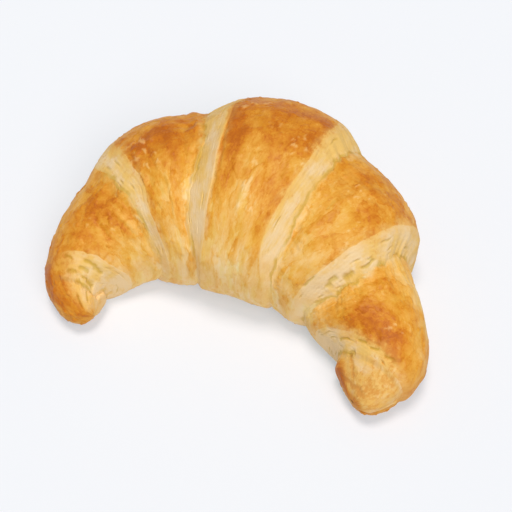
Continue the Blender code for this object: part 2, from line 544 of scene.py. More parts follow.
@dataclass(frozen=True)
class CutEdge:
    """Builds the rows of a seam: the round shoulder, the laminated cut and the tuck below it.

    The cut goes on below the lower wrap for the part PAST of its width, falling by DROP times
    that part. The tuck runs on by TUCK, along the roll and inwards. The lower wrap's root starts
    ROOT above and below the crease. CLOSING are the sizes of the rings that close a shell.
    """

    PAST = 0.14
    DROP = 7.0
    STEEPNESS = 1.4
    GROOVE = (0.2, 0.9)
    TUCK = (1.5, 1.8)
    ROOT = (4, 3)
    ROOT_ROWS = 6
    ROOT_CURVE = 1.5
    CLOSING = (0.2, 0.5, 0.8)

    seam: Seam
    rows: int = 60
    roundness: float = 0.6

    def face(self, angle: Array) -> Block:
        """The cut edge, from the lip down to just below the crease.

        Args:
            angle: The columns' angles.

        Returns:
            Its rows.
        """
        seam = self.seam
        lip, crease = seam.lip_at(angle), seam.crease_at(angle)
        step, swell = seam.step_at(angle), seam.swell_at(angle)
        down = column(np.linspace(0.002, 1 + self.PAST, self.rows))
        fall = self.roundness * smooth(down, 0, 1) + (1 - self.roundness) * down**self.STEEPNESS
        width = np.hypot(crease - lip, step + swell)
        return Block.make(
            angle,
            self.rows,
            distance=seam.side * (lip + (crease - lip) * down),
            lift=swell - (swell + step) * np.minimum(fall, 1) - self.DROP * np.maximum(down - 1, 0),
            groove=smooth(down, *self.GROOVE),
            past_lip=down * width,
            past_crease=(down - 1) * width,
            lip_weight=seam.weight_at(angle),
            crease_weight=seam.crease_weight_at(angle),
        )

    def tuck(self, angle: Array) -> Block:
        """Hidden rows below the lower wrap, closing on the roll's middle.

        Args:
            angle: The columns' angles.

        Returns:
            Its rows.
        """
        seam = self.seam
        lip, crease, step = seam.lip_at(angle), seam.crease_at(angle), seam.step_at(angle)
        start = crease + self.PAST * (crease - lip)
        depth = -step - self.DROP * self.PAST
        run, fall = self.TUCK
        down = column([0.3, 1.0])
        slope = Block.make(
            angle, 2, distance=seam.side * (start + run * down), lift=depth - fall * down, groove=1
        )
        close = column(self.CLOSING[::-1])
        middle = seam.side * (start.mean() + run)
        inside = Block.make(
            angle,
            3,
            distance=middle + (seam.side * (start + run) - middle) * close,
            lift=(depth - fall) * close,
            shrink=close,
            groove=1,
        )
        return Block.join([slope, inside])

    def root(self, angle: Array) -> Block:
        """Hidden rows of the lower wrap, from the roll's middle to the crease.

        Args:
            angle: The columns' angles.

        Returns:
            Its rows.
        """
        seam = self.seam
        crease, step = seam.crease_at(angle), seam.step_at(angle)
        run, fall = self.ROOT
        close = column(self.CLOSING)
        middle = seam.side * (crease.mean() - run)
        inside = Block.make(
            angle,
            3,
            distance=middle + (seam.side * (crease - run) - middle) * close,
            lift=(-step - fall) * close,
            shrink=close,
            groove=1,
        )
        up = column(np.linspace(0, 0.9, self.ROOT_ROWS))
        slope = Block.make(
            angle,
            self.ROOT_ROWS,
            distance=seam.side * (crease - run * (1 - up)),
            lift=-step - fall * (1 - up) ** self.ROOT_CURVE,
            groove=1,
            past_crease=-run * (1 - up),
            crease_weight=seam.crease_weight_at(angle),
        )
        return Block.join([inside, slope])


# ---------------------------------------------------------------- relief and browning


@dataclass(frozen=True)
class Spot:
    """A soft-edged place on the roll, with the amount of something at its middle."""

    distance: float
    angle: float
    length: float
    spread: float
    amount: float

    def at(self, distance: Array, angle: Array) -> Array:
        """The amount at each point.

        Args:
            distance: Distances along the roll.
            angle: Angles round the section.

        Returns:
            The amounts.
        """
        turn = np.mod(angle - self.angle + 180, 360) - 180
        along = ((distance - self.distance) / self.length) ** 2
        return self.amount * np.exp(-along - (turn / self.spread) ** 2)


@dataclass(frozen=True)
class Fold:
    """A ridge or a groove that runs over the roll between two places.

    Each place is a distance and an angle. height is above 0 for a ridge and below it for a
    groove, width is half of its width, and the last field is what it adds to the browning: some
    real browning, painted shade that darkens a groove and a painted highlight that pales a ridge.
    It wanders by about BEND, in waves of about BEND_WAVE.
    """

    BEND = 0.8
    BEND_WAVE = 6
    BEND_SEED = 70

    start: Pair
    end: Pair
    width: float
    height: float
    # What it adds to the browning: real browning, with painted shade along a groove and a painted
    # highlight along a ridge.
    toast_and_painted_light: float = 0.0

    def at(self, ring: Array, angle: Array) -> Array:
        """How much of the fold there is at each point.

        Args:
            ring: Coordinates that follow the roll.
            angle: Angles round the section.

        Returns:
            1 along the fold's middle, down to 0 beside it and past its ends.
        """
        radius = np.hypot(ring[..., 1], ring[..., 2])
        arc = radius * np.radians(np.mod(angle + 90, 360) - 90)
        bend = self.BEND * Noise(self.BEND_SEED).fractal(ring / self.BEND_WAVE, 2)
        first, last = (
            np.stack([np.full_like(arc, place), radius * math.radians(turn)], -1)
            for place, turn in (self.start, self.end)
        )
        here = np.stack([ring[..., 0] + bend, arc], axis=-1) - first
        along = last - first
        length = np.maximum(np.einsum("...i,...i", along, along), 1e-6)
        share = np.einsum("...i,...i", here, along) / length
        gap = np.linalg.norm(here - np.clip(share, 0, 1)[..., None] * along, axis=-1)
        fade = smooth(share, -0.05, 0.2) * (1 - smooth(share, 0.8, 1.05))
        return np.exp(-((gap / self.width) ** 2)) * fade


@dataclass
class Texture:
    """The patterns of the dough over one shell, which its relief and its colours share.

    cut is 1 on a cut edge. leaf is the height of the leaves' edges there, and slit is 1 deep
    between them. patch is the level of each torn leaf on the outside, and border is 1 round it.
    peel is 1 on a flake. edge is the noise that frays the borders of the colours. folds and
    gaps are the folds and the slits, each with how much of it there is.
    """

    cut: Array
    leaf: Array
    slit: Array
    patch: Array
    border: Array
    peel: Array
    crinkle: Array
    streak: Array
    blister: Array
    grain: Array
    edge: Array
    folds: list[tuple[Fold, Array]]
    gaps: list[tuple[Fold, Array]]


@dataclass(frozen=True)
class Baking:
    """How brown each part of the crust is, from 0, pale, to 1, dark.

    by_angle gives pairs of an angle and the browning there, and the spots add to it in places,
    partly as real scorching and partly as painted light and shade: paler where light falls on a
    side, darker where a side lies in shade.
    The fields named by_ are what each pattern of the dough adds. A lip browns over lip_range
    before it, and the dough stays paler over crease_range past a crease. A cut edge keeps the
    share cut_share of what it has above cut_limit.
    """

    by_angle: tuple[Pair, ...] = (
        (-90, 0.60),
        (-20, 0.52),
        (15, 0.53),
        (45, 0.55),
        (75, 0.55),
        (100, 0.48),
        (130, 0.38),
        (160, 0.27),
        (185, 0.22),
        (215, 0.28),
        (240, 0.46),
        (270, 0.60),
    )
    # Spots of browning: partly real scorching, and partly painted light and shade, paler where light
    # falls on a side and darker where a side lies in shade.
    scorches_and_painted_light: tuple[Spot, ...] = (
        Spot(-92, 45, 6, 26, 0.16),
        Spot(-85, 110, 5, 50, 0.10),
        Spot(-86, 155, 8, 40, 0.20),
        Spot(-92, 90, 4, 30, -0.06),
        Spot(-84, 20, 7, 22, 0.22),
        Spot(-82, 60, 6, 34, 0.14),
        Spot(-66, 108, 8, 25, 0.22),
        Spot(-60, 76, 6, 18, 0.14),
        Spot(-56, 116, 3, 26, 0.22),
        Spot(-37, 72, 9, 18, 0.30),
        Spot(-38, 100, 7, 10, 0.08),
        Spot(-31, 138, 6, 14, 0.18),
        Spot(-22, 60, 7, 20, 0.26),
        Spot(-20, 168, 7, 12, 0.04),
        Spot(-10, 92, 4, 30, 0.32),
        Spot(-9, 142, 8, 9, 0.02),
        Spot(-1, 58, 9, 12, 0.24),
        Spot(-2, 80, 4, 16, 0.14),
        Spot(5, 106, 5, 14, 0.12),
        Spot(5, 166, 16, 8, -0.08),
        Spot(10, 78, 6, 14, 0.16),
        Spot(13, 130, 4, 24, 0.16),
        Spot(16, 112, 3, 16, 0.06),
        Spot(24, 58, 7, 12, 0.10),
        Spot(34, 171, 6, 10, -0.14),
        Spot(40, 78, 6, 14, 0.18),
        Spot(44, 170, 4, 10, 0.18),
        Spot(46, 85, 3, 50, -0.16),
        Spot(61, 34, 9, 22, -0.28),
        Spot(67, 140, 5, 28, 0.16),
        Spot(78, 125, 6, 45, 0.12),
        Spot(72, 98, 5, 22, 0.34),
        Spot(78, 78, 4, 20, 0.30),
        Spot(86, 30, 9, 24, -0.10),
        Spot(91, 164, 6, 30, 0.72),
        Spot(93, 100, 3, 60, 0.16),
        Spot(89, 60, 7, 50, 0.16),
        Spot(92, 70, 4, 30, 0.14),
    )
    by_grain: float = 0.11
    by_streak: float = 0.03
    by_patch: float = 0.09
    by_border: float = 0.04
    by_blister: float = 0.20
    by_peel: float = -0.16
    by_lip: float = 0.08
    by_crease: float = -0.10
    lip_range: Pair = (-9, -1)
    crease_range: Pair = (0, 7)
    cut_limit: float = 0.42
    cut_share: float = 0.5

    def even(self, distance: Array, angle: Array) -> Array:
        """The browning before its fine unevenness, with the spots' painted light and shade.

        Args:
            distance: Distances along the roll.
            angle: Angles round the section.

        Returns:
            The browning, with its painted light and shade, at each point.
        """
        stops, levels = np.transpose(self.by_angle)
        brown = np.interp(np.mod(angle + 90, 360) - 90, stops, levels)
        return brown + sum(spot.at(distance, angle) for spot in self.scorches_and_painted_light)

    def brown(self, grid: Block, texture: Texture, angle: Array) -> Array:
        """The browning of one shell, with the painted light and shade of its spots and folds.

        Args:
            grid: The shell's rows.
            texture: Its patterns.
            angle: The columns' angles.

        Returns:
            The browning at each point.
        """
        patches = self.by_patch * texture.patch + self.by_border * texture.border
        brown = self.even(grid.distance, angle) + self.by_grain * texture.grain
        brown = brown + self.by_streak * texture.streak + (1 - texture.cut) * patches
        brown = brown + self.by_blister * texture.blister + self.by_peel * texture.peel
        # The folds darken grooves with painted shade and pale ridges with painted highlights, besides
        # real browning.
        brown = brown + sum(fold.toast_and_painted_light * weight for fold, weight in texture.folds)
        near_lip = grid.lip_weight * smooth(grid.past_lip, *self.lip_range)
        near_crease = grid.crease_weight * (1 - smooth(grid.past_crease, *self.crease_range))
        brown = brown + self.by_lip * near_lip + self.by_crease * near_crease
        above = np.maximum(brown - self.cut_limit, 0)
        return brown - (1 - self.cut_share) * texture.cut * above


@dataclass(frozen=True)
class Openings:
    """Where the pale inside of the dough shows, and where its hollows lie in shade.

    A range gives the distances past a lip or a crease over which something sets in or ends, and
    a fray how ragged that is. Less of the inside shows in front, over merged_angles, where the
    wraps merge up to the distances merged_until.
    """

    lip_range: Pair = (-3.2, 3.6)
    lip_fray: float = 2.4
    crease_range: Pair = (-0.5, 2.2)
    crease_fray: float = 2.2
    crease_share: float = 0.75
    merged_angles: Pair = (142, 166)
    merged_until: Pair = (55, 64)
    merged_share: float = 0.75
    shade_in: Pair = (-1.6, 0)
    shade_out: Pair = (0.1, 1.4)
    shade_fray: float = 0.8
    shade_least: float = 0.35
    shade_grain: Pair = (-0.3, 0.3)
    slit_share: float = 0.75

    def crumb(self, grid: Block, texture: Texture, angle: Array) -> Array:
        """How much of the dough's inside shows.

        Args:
            grid: The shell's rows.
            texture: Its patterns.
            angle: The columns' angles.

        Returns:
            1 on a cut edge, 0 on the crust.
        """
        past_lip = grid.past_lip + self.lip_fray * texture.edge
        past_crease = grid.past_crease + self.crease_fray * texture.edge
        above = smooth(past_lip, *self.lip_range) * grid.lip_weight
        below = self.crease_share * grid.crease_weight * (1 - smooth(past_crease, *self.crease_range))
        along = 1 - smooth(np.abs(grid.distance), *self.merged_until)
        merged = self.merged_share * smooth(angle, *self.merged_angles) * along
        return np.maximum(above, below) * (1 - merged)

    def crevice(self, grid: Block, texture: Texture) -> Array:
        """How deep in the shade of a crease or a slit each point lies.

        Args:
            grid: The shell's rows.
            texture: Its patterns.

        Returns:
            0 outside, and 1 or more in full shade.
        """
        past = grid.past_crease + self.shade_fray * texture.edge
        crease = grid.crease_weight * smooth(past, *self.shade_in) * (1 - smooth(past, *self.shade_out))
        patchy = smooth(texture.grain, *self.shade_grain)
        crease = crease * (self.shade_least + (1 - self.shade_least) * patchy)
        slits = sum(weight for _, weight in texture.gaps)
        return np.maximum(self.slit_share * texture.cut * texture.slit, crease) + slits


@dataclass(frozen=True)
class Relief:
    """The fine form of baked, laminated dough: heights in millimetres over a smooth shell.

    undulation and lumps shape the whole wraps. crinkle, streak, patch, peel and grit are the
    heights of the small patterns, and a field named _size or _wave is how large they are, along
    the roll and twice across it. The edges of the leaves are leaf apart, with steps of terrace
    and slits of the depth slit between them. flaking and folds say where the crust is torn and
    folded, and slits where the ends of the horns are open. In front, over the angles front, the
    crust is calmer by the share front_share.
    """

    GRAIN_SEED = 91
    EDGE_SEED = 92
    FLAKY = (0.05, 0.5)
    LEAF_SHIFT = 0.73
    BLISTER_REACH = 7

    undulation: float = 0.6
    undulation_wave: float = 13
    crinkle: float = 0.19
    crinkle_size: Triple = (4.6, 9.0, 9.0)
    crinkle_warp: Pair = (1.8, 11)
    streak: float = 0.02
    streak_size: Triple = (1.7, 11, 11)
    streak_warp: Pair = (1.6, 9)
    patch: float = 0.12
    patch_size: Triple = (5.0, 8.0, 8.0)
    patch_warp: Pair = (0.42, 5)
    border_width: float = 0.05
    peel: float = 0.30
    peel_size: Triple = (2.0, 3.2, 3.2)
    peel_limits: Triple = (0.50, 0.95, 0.55)
    cluster: float = 0.15
    cluster_size: Triple = (8, 11, 11)
    leaf: float = 1.3
    leaf_size: Triple = (8, 12, 12)
    leaf_bend: float = 0.5
    terrace: float = 0.07
    slit: float = 0.34
    slit_width: float = 0.26
    slit_length: float = 5
    slit_limits: Pair = (0.25, 0.75)
    grit: float = 0.07
    grit_size: Triple = (2.4, 6, 6)
    grain_size: Triple = (7, 11, 11)
    edge_size: Triple = (2.5, 5, 5)
    cut_range: Pair = (-0.5, 1.5)
    front: tuple[float, float, float, float] = (112, 150, 210, 250)
    front_share: float = 0.6
    blisters_per_row: float = 1.3
    blister_radii: Pair = (0.6, 1.7)
    blister_heights: Pair = (0.12, 0.4)
    flaking: tuple[Spot, ...] = (
        Spot(-42, 78, 4, 16, 1.0),
        Spot(-31, 118, 4, 10, 0.7),
        Spot(-54, 125, 3, 8, 0.7),
        Spot(-8, 60, 8, 8, 0.5),
        Spot(1, 116, 3, 11, 1.0),
        Spot(5, 130, 3, 6, 0.8),
        Spot(11, 84, 3, 8, 0.6),
        Spot(14, 98, 3, 6, 1.0),
        Spot(28, 100, 4, 10, 0.5),
        Spot(34, 78, 4, 8, 0.5),
        Spot(44, 92, 4, 8, 0.6),
        Spot(53, 110, 4, 25, 0.9),
        Spot(75, 75, 3, 10, 0.4),
        Spot(90, 65, 5, 40, 0.9),
    )
    # Each fold's last number adds to the browning: painted shade along grooves, painted highlights
    # along ridges, and some real browning.
    folds: tuple[Fold, ...] = (
        Fold((-25, 15), (-24, 84), 1.5, 1.2),
        Fold((-28, 60), (-29, 100), 1.2, -0.5, -0.06),
        Fold((-14, 46), (-15, 112), 0.7, -0.5, 0.16),
        Fold((-12, 60), (-12, 92), 1.2, 0.4, 0.04),
        Fold((3, 98), (-2, 134), 1.4, 0.5, -0.12),
        Fold((7, 104), (6, 138), 1.0, -0.3, 0.08),
        Fold((14, 88), (12, 112), 1.2, 0.4, -0.06),
        Fold((-43, 66), (-46, 104), 1.3, 0.5, 0.0),
        Fold((-40, 62), (-41, 100), 0.8, -0.3, 0.12),
        Fold((-37, 98), (-38, 135), 1.0, 0.4, -0.05),
        Fold((-66, 84), (-72, 120), 0.9, -0.35, 0.12),
        Fold((-62, 100), (-60, 130), 1.2, 0.4, -0.04),
        Fold((34, 64), (33, 100), 1.2, 0.4, 0.04),
        Fold((62, 66), (60, 110), 1.2, 0.4, -0.04),
        Fold((84, 136), (92, 120), 1.0, -0.8, 0.40),
        Fold((92.4, 162), (94.0, 60), 0.6, -0.5, 0.40),
        Fold((91.2, 150), (92.8, 60), 0.6, 0.4, -0.12),
        Fold((87, 5), (96, 14), 0.8, 0.5, -0.25),
        Fold((-83, 44), (-85, 76), 1.2, 0.5, -0.20),
    )
    slits: tuple[Fold, ...] = (
        Fold((-80.6, 66), (-81.2, 82), 0.5, -0.30),
        Fold((-84.2, 68), (-85.2, 90), 0.5, -0.40),
        Fold((-83.6, 90), (-84.4, 112), 0.7, -0.45),
        Fold((-81.4, 96), (-82.4, 120), 0.5, -0.35),
        Fold((-82.8, 114), (-83.8, 136), 0.6, -0.45),
        Fold((-86.0, 96), (-86.8, 112), 0.4, -0.30),
        Fold((-87.4, 106), (-88.8, 132), 0.8, -0.50),
        Fold((-90.0, 80), (-94.0, 66), 0.5, -0.45),
        Fold((-90.5, 106), (-94.0, 92), 0.5, -0.45),
        Fold((50.5, 132), (51.0, 148), 0.5, -0.35),
        Fold((54.4, 118), (55.8, 136), 0.7, -0.50),
        Fold((55.0, 102), (56.2, 117), 0.9, -0.70),
        Fold((53.2, 78), (54.8, 96), 0.5, -0.40),
        Fold((80.6, 102), (79.8, 118), 0.5, -0.30),
        Fold((82.2, 84), (81.8, 100), 0.4, -0.30),
        Fold((83.4, 60), (83.0, 78), 0.4, -0.30),
        Fold((78.4, 128), (77.4, 150), 0.6, -0.35),
        Fold((83.2, 124), (84.4, 142), 0.8, -0.60),
    )
    lumps: tuple[Spot, ...] = (
        Spot(-95, 110, 5, 60, 2.0),
        Spot(-95, 190, 5, 35, 2.0),
        Spot(-62, 25, 14, 40, -1.8),
        Spot(-62, 185, 12, 30, 0.8),
        Spot(8, 20, 8, 30, -0.6),
        Spot(19, 20, 4, 30, 0.9),
        Spot(32, 15, 8, 30, -0.6),
        Spot(38, 185, 7, 30, -1.0),
        Spot(66, 185, 7, 30, 1.2),
        Spot(77, 0, 4, 25, 0.6),
        Spot(86, 0, 5, 30, -1.0),
        Spot(92, 165, 7, 32, 2.4),
    )
    seed: int = 40

    def waves(self, points: Array, distance: Array, angle: Array) -> Array:
        """Soft hollows and swellings of the whole roll.

        Args:
            points: Points on the even roll.
            distance: Distances along the roll.
            angle: Angles round the section.

        Returns:
            Heights over the even roll's skin.
        """
        gentle = self.undulation * Noise(self.seed).fractal(points / self.undulation_wave, 2)
        return gentle + sum(lump.at(distance, angle) for lump in self.lumps)

    def warped(self, ring: Array, seed: int, amount: float, wave: float) -> Array:
        """Shifts coordinates along the roll by smooth noise.

        Args:
            ring: Coordinates that follow the roll.
            seed: The noise's number.
            amount: How far it shifts them.
            wave: The length of its waves.

        Returns:
            The new coordinates.
        """
        shift = amount * Noise(self.seed + seed).at(ring / wave)
        return ring + np.stack([shift, 0 * shift, 0 * shift], axis=-1)

    def patches(self, ring: Array) -> tuple[Array, Array]:
        """The torn leaves that the outermost dough is made of.

        Args:
            ring: Coordinates that follow the roll.

        Returns:
            Each leaf's level, from -1 to 1, and 1 on the leaves' borders.
        """
        amount, wave = self.patch_warp
        bend = [Noise(self.seed + 20 + axis).fractal(ring / wave, 3) for axis in range(3)]
        level, border = Cells(self.seed + 3).at(ring / self.patch_size + amount * np.stack(bend, -1))
        return level, np.exp(-((border / self.border_width) ** 2))

    def peels(self, ring: Array, distance: Array, angle: Array) -> Array:
        """Small flakes that stand up from the crust, in loose clusters.

        Args:
            ring: Coordinates that follow the roll.
            distance: Distances along the roll.
            angle: Angles round the section.

        Returns:
            1 on a flake, 0 beside it.
        """
        loose = smooth(Noise(self.seed + 8).fractal(ring / self.cluster_size, 2), *self.FLAKY)
        cluster = self.cluster * loose + sum(spot.at(distance, angle) for spot in self.flaking)
        cluster = np.clip(cluster, 0, 1)
        flake = Noise(self.seed + 9).fractal(ring / self.peel_size, 4)
        low, high, shift = self.peel_limits
        return smooth(flake, low - shift * cluster, high - shift * cluster) * smooth(cluster, 0, 0.3)

    def leaves(self, reach: Array, ring: Array) -> tuple[Array, Array]:
        """The edges of the leaves on a cut.

        Args:
            reach: How far down the cut each point lies.
            ring: Coordinates that follow the roll.

        Returns:
            Heights, and 1 deep in the slits between the leaves.
        """
        bend = self.leaf_bend * Noise(self.seed + 5).fractal(ring / self.leaf_size, 2)
        phase = reach / self.leaf + bend
        index = np.floor(phase)
        inside = phase - index
        across = ring[..., 1] / self.slit_length, ring[..., 2] / self.slit_length
        place = np.stack([index * self.LEAF_SHIFT, *across], axis=-1)
        opening = smooth(Noise(self.seed + 6).at(place), *self.slit_limits)
        slit = np.exp(-(((inside - 0.5) / self.slit_width) ** 2)) * opening
        terrace = self.terrace * (smooth(inside, 0.7, 1) - inside)
        grit = self.grit * Noise(self.seed + 7).fractal(ring / self.grit_size, 3)
        return grit + terrace - self.slit * slit, slit

    def blisters(self, points: Array, skin: Array) -> Array:
        """Small bubbles under the glaze, scattered over the skin.

        Args:
            points: The shell's points.
            skin: 1 where there is baked skin.

        Returns:
            Heights.
        """
        rows, columns = skin.shape
        heights = np.zeros((rows, columns))
        rng = np.random.default_rng(self.seed + rows)
        near = np.arange(-self.BLISTER_REACH, self.BLISTER_REACH + 1)
        for _ in range(int(self.blisters_per_row * rows)):
            row, place = rng.integers(0, rows), rng.integers(0, columns)
            radius, height = rng.uniform(*self.blister_radii), rng.uniform(*self.blister_heights)
            if skin[row, place] < 1:
                continue
            near_rows = row + near
            near_rows = near_rows[(near_rows >= 0) & (near_rows < rows)]
            window = np.ix_(near_rows, (place + near) % columns)
            gap = np.linalg.norm(points[window] - points[row, place], axis=-1)
            heights[window] += height * np.clip(1 - (gap / radius) ** 2, 0, 1) ** 2
        return heights

    def texture(self, points: Array, grid: Block, ring: Array, angle: Array) -> Texture:
        """Works out all the patterns of one shell.

        Args:
            points: The shell's points.
            grid: Its rows.
            ring: Coordinates that follow the roll.
            angle: The columns' angles.

        Returns:
            The patterns.
        """
        patch, border = self.patches(ring)
        leaf, slit = self.leaves(np.maximum(grid.past_lip, 0), ring)
        crinkled = self.warped(ring, 10, *self.crinkle_warp) / self.crinkle_size
        streaked = self.warped(ring, 1, *self.streak_warp) / self.streak_size
        return Texture(
            cut=smooth(grid.past_lip, *self.cut_range) * grid.lip_weight,
            leaf=leaf,
            slit=slit,
            patch=patch,
            border=border,
            peel=self.peels(ring, grid.distance, angle),
            crinkle=Noise(self.seed + 11).fractal(crinkled, 2),
            streak=Noise(self.seed + 2).fractal(streaked, 3),
            blister=self.blisters(points, grid.skin),
            grain=Noise(self.GRAIN_SEED).fractal(ring / self.grain_size, 3),
            edge=Noise(self.EDGE_SEED).fractal(ring / self.edge_size, 3),
            folds=[(fold, fold.at(ring, angle)) for fold in self.folds],
            gaps=[(gap, gap.at(ring, angle)) for gap in self.slits],
        )

    def heights(self, grid: Block, texture: Texture, angle: Array) -> Array:
        """The relief of one shell.

        Args:
            grid: The shell's rows.
            texture: Its patterns.
            angle: The columns' angles.

        Returns:
            Heights over its smooth form.
        """
        skin = self.crinkle * texture.crinkle + self.streak * texture.streak + texture.blister
        skin = skin + self.patch * (texture.patch - texture.border) + self.peel * texture.peel
        skin = skin + sum(fold.height * weight for fold, weight in texture.folds)
        first, full, last, end = self.front
        in_front = smooth(angle, first, full) * (1 - smooth(angle, last, end))
        skin = skin * (1 - self.front_share * in_front)
        height = grid.skin * (1 - texture.cut) * skin + texture.cut * texture.leaf
        gaps = sum(gap.height * weight for gap, weight in texture.gaps)
        return height + gaps * (grid.shrink > 0.99)


# ---------------------------------------------------------------- shells


def place(name: str, data: bpy.types.ID) -> bpy.types.Object:
    """Puts new data into the scene.

    Args:
        name: The object's name.
        data: Its mesh, light or camera.

    Returns:
        The new object.
    """
    thing = bpy.data.objects.new(name, data)
    bpy.context.scene.collection.objects.link(thing)
    return thing


@dataclass
class Shell:
    """One closed wrap of dough, on a grid of rows along the roll and columns round it."""

    COARSE = 0.42

    name: str
    roll: Roll
    relief: Relief
    baking: Baking
    openings: Openings
    columns: int = 400

    @cached_property
    def angle(self) -> Array:
        """The columns' angles, closer together where the outside is seen than underneath.

        Returns:
            The angles.
        """
        fine = np.linspace(-90, 270, 3601)
        seen = smooth(fine, -60, -20) * (1 - smooth(fine, 205, 240))
        density = self.COARSE + (1 - self.COARSE) * seen
        travel = np.concatenate([[0], np.cumsum((density[1:] + density[:-1]) / 2)])
        return np.interp(np.arange(self.columns) / self.columns * travel[-1], travel, fine)

    def blocks(self) -> list[Block]:
        """The shell's rows, from one closed end to the other."""
        raise NotImplementedError

    def poles(self, grid: Block) -> tuple[Array, Array]:
        """The two points that close the shell's ends.

        Args:
            grid: The shell's rows.

        Returns:
            The point for the first row, and the point for the last one.
        """
        none, one = np.zeros(1), np.ones(1)
        ends = (np.full(1, grid.distance[row].mean()) for row in (0, -1))
        first, last = (self.roll.point(place, none, none, none, one)[0] for place in ends)
        return first, last

    def normals(self, points: Array, grid: Block) -> Array:
        """Outward unit normals of the smooth shell.

        Args:
            points: The shell's points.
            grid: Its rows.

        Returns:
            A normal for each point.
        """
        along = np.gradient(points, axis=0)
        round_it = np.roll(points, -1, axis=1) - np.roll(points, 1, axis=1)
        normal = np.cross(round_it, along)
        normal /= np.maximum(np.linalg.norm(normal, axis=-1, keepdims=True), 1e-9)
        spine = self.roll.point(grid.distance, self.angle, grid.lift, 0 * grid.shrink, grid.groove)
        if np.einsum("rci,rci", normal, points - spine) < 0:
            normal = -normal
        return normal

    def build(self) -> bpy.types.Object:
        """Makes the shell's mesh, with its browning, its painted light and shade, and its openings as
        attributes.

        Returns:
            The new object, linked to the scene.
        """
        grid = Block.join(self.blocks())
        even = self.roll.point(grid.distance, self.angle, 0, 1, 0)
        lift = grid.lift + self.relief.waves(even, grid.distance, self.angle)
        points = self.roll.point(grid.distance, self.angle, lift, grid.shrink, grid.groove)
        ring = self.roll.ring(grid.distance, self.angle)
        texture = self.relief.texture(points, grid, ring, self.angle)
        height = self.relief.heights(grid, texture, self.angle)
        moved = points + self.normals(points, grid) * height[..., None]
        moved[..., 2] = np.maximum(moved[..., 2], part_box(NODE)[0][2] / MM)
        mesh = self.mesh(moved, self.poles(grid))
        values = {
            # The browning carries the painted light and shade of the spots and folds.
            "bake": self.baking.brown(grid, texture, self.angle),
            "crumb": self.openings.crumb(grid, texture, self.angle),
            "crevice": self.openings.crevice(grid, texture),
            "peel": texture.peel,
        }
        for name, value in values.items():
            self.store(mesh, name, "FLOAT", "value", value[..., None])
        self.store(mesh, "flow", "FLOAT_VECTOR", "vector", ring)
        return place(self.name, mesh)

    def mesh(self, points: Array, poles: tuple[Array, Array]) -> bpy.types.Mesh:
        """Writes the grid as a closed mesh.

        Args:
            points: The grid's points.
            poles: The points that close its ends.

        Returns:
            The new mesh.
        """
        rows, columns = points.shape[:2]
        corners = np.concatenate([points.reshape(-1, 3), np.array(poles)]) * MM
        index = np.arange(rows * columns).reshape(rows, columns)
        after = np.roll(index, -1, axis=1)
        quads = np.stack([index[:-1], index[1:], after[1:], after[:-1]], axis=-1).reshape(-1, 4)
        first = np.full(columns, rows * columns)
        start = np.stack([first, index[0], after[0]], axis=-1)
        end = np.stack([first + 1, after[-1], index[-1]], axis=-1)
        caps = np.concatenate([start, end])
        if self.is_inside_out(corners, quads):
            quads, caps = quads[:, ::-1], caps[:, ::-1]
        mesh = bpy.data.meshes.new(self.name)
        mesh.vertices.add(len(corners))
        mesh.vertices.foreach_set("co", corners.ravel())
        mesh.loops.add(quads.size + caps.size)
        mesh.loops.foreach_set("vertex_index", np.concatenate([quads.ravel(), caps.ravel()]))
        mesh.polygons.add(len(quads) + len(caps))
        starts = np.concatenate([np.arange(len(quads)) * 4, quads.size + np.arange(len(caps)) * 3])
        mesh.polygons.foreach_set("loop_start", starts)
        mesh.update(calc_edges=True)
        mesh.shade_smooth()
        return mesh

    @staticmethod
    def store(mesh: bpy.types.Mesh, name: str, kind: str, field_name: str, values: Array) -> None:
        """Writes an attribute for every point, and its mean at each closed end for the poles.

        Args:
            mesh: The shell's mesh.
            name: The attribute's name.
            kind: Its type.
            field_name: What Blender calls the numbers of that type.
            values: Rows by columns by the numbers of each point.
        """
        ends = values[[0, -1]].mean(axis=1)
        numbers = np.concatenate([values.reshape(-1, values.shape[-1]), ends])
        layer = mesh.attributes.new(name, kind, "POINT")
        layer.data.foreach_set(field_name, numbers.ravel().astype(np.float32))

    @staticmethod
    def is_inside_out(corners: Array, quads: Array) -> bool:
        """Whether the faces point inwards, from the volume that they enclose.

        Args:
            corners: The mesh's points.
            quads: Its four-sided faces.

        Returns:
            True where they point inwards.
        """
        a, b, c, d = (corners[quads[:, n]] for n in range(4))
        volume = np.einsum("ij,ij", a, np.cross(b, c)) + np.einsum("ij,ij", a, np.cross(c, d))
        return bool(volume < 0)

    @staticmethod
    def dress(piece: bpy.types.Object, crust: bpy.types.Material) -> None:
        """Gives a piece its finish, and puts it on the frame in the solid's place.

        Args:
            piece: The wrap.
            crust: Its material.
        """
        piece.data.materials.append(crust)
        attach(piece, "root")
        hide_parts(NODE)


def crown_fade(angle: Array) -> Array:
    """How strongly a wrap bulges round the section: less low in front, where wraps merge."""
    return 1 - 0.75 * smooth(angle, 120, 175) * (1 - smooth(angle, 225, 265))


@dataclass
class MiddleWrap(Shell):
    """The last wrap of the roll, which lies over both its neighbours."""

    left: Seam = field(kw_only=True)
    right: Seam = field(kw_only=True)
    crown: float = 1.2
    rows: int = 84

    def blocks(self) -> list[Block]:
        """Both cut edges, with the skin between their lips.

        Returns:
            The rows, from left to right.
        """
        angle = self.angle
        first, last = -self.left.lip_at(angle), self.right.lip_at(angle)
        share = column(np.linspace(0, 1, self.rows + 2)[1:-1])
        swell = self.left.swell_at(angle) * (1 - share) ** 2
        swell = swell + self.right.swell_at(angle) * share**2
        on_left = share < 0.5
        skin = Block.make(
            angle,
            self.rows,
            distance=first + share * (last - first),
            lift=swell + self.crown * crown_fade(angle) * np.sin(math.pi * share),
            skin=1,
            past_lip=-np.minimum(share, 1 - share) * (last - first),
            lip_weight=np.where(on_left, self.left.weight_at(angle), self.right.weight_at(angle)),
        )
        left, right = CutEdge(self.left), CutEdge(self.right)
        return [
            left.tuck(angle).reversed(),
            left.face(angle).reversed(),
            skin,
            right.face(angle),
            right.tuck(angle),
        ]


